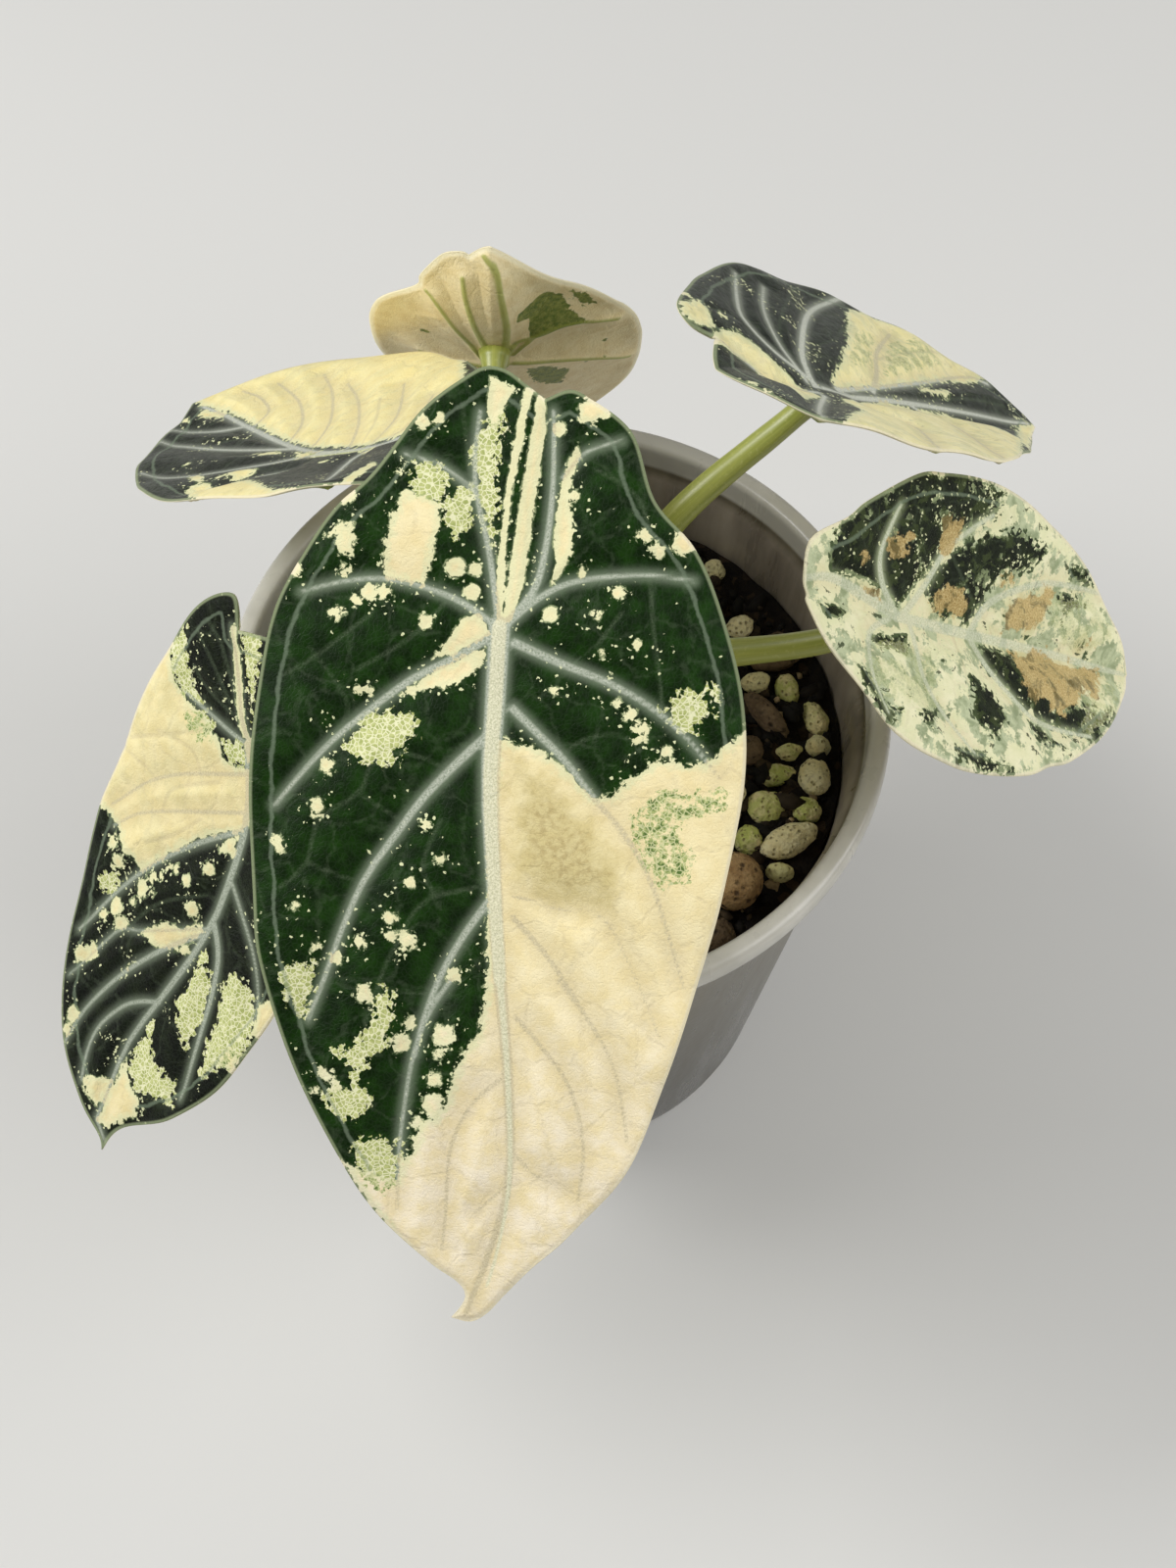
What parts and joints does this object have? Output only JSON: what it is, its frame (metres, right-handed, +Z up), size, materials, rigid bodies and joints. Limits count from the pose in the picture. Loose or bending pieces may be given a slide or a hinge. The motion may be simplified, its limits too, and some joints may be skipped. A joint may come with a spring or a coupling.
{
  "type": "potted alocasia",
  "caption": "Potted alocasia: variegated velvety leaves on slender petioles rise from stony soil in a tapered nursery pot with a rolled rim.",
  "frame": {"origin": "centre of the pot's flat base, on the surface it stands on", "axes": "+Z up through the pot; -Y toward the viewer, where the largest leaf hangs; +X to the viewer's right"},
  "size_m": [0.1905, 0.2041, 0.2109],
  "materials": {
    "nursery_pot_plastic": "satin",
    "dark_potting_mix": "matte",
    "variegated_blade": "satin",
    "petiole_green": "satin",
    "fired_clay_ball": "matte",
    "pumice_grain": "matte",
    "bark_chip": "matte"
  },
  "bodies": {
    "root": {"pot": "nursery_pot_plastic", "soil": "dark_potting_mix", "blade_front": "variegated_blade", "petiole_front": "petiole_green", "blade_left": "variegated_blade", "petiole_left": "petiole_green", "blade_upper_left": "variegated_blade", "petiole_upper_left": "petiole_green", "blade_back": "variegated_blade", "petiole_back": "petiole_green", "blade_upper_right": "variegated_blade", "petiole_upper_right": "petiole_green", "blade_right": "variegated_blade", "petiole_right": "petiole_green", "clay_01": "fired_clay_ball", "pumice_01": "pumice_grain", "pumice_02": "pumice_grain", "pumice_03": "pumice_grain", "pumice_04": "pumice_grain", "pumice_05": "pumice_grain", "pumice_06": "pumice_grain", "pumice_07": "pumice_grain", "pumice_08": "pumice_grain", "pumice_09": "pumice_grain", "pumice_10": "pumice_grain", "pumice_11": "pumice_grain", "pumice_12": "pumice_grain", "pumice_13": "pumice_grain", "pumice_14": "pumice_grain", "pumice_15": "pumice_grain", "pumice_16": "pumice_grain", "bark_01": "bark_chip", "bark_02": "bark_chip", "bark_03": "bark_chip", "bark_04": "bark_chip", "bark_05": "bark_chip"}
  },
  "joints": []
}
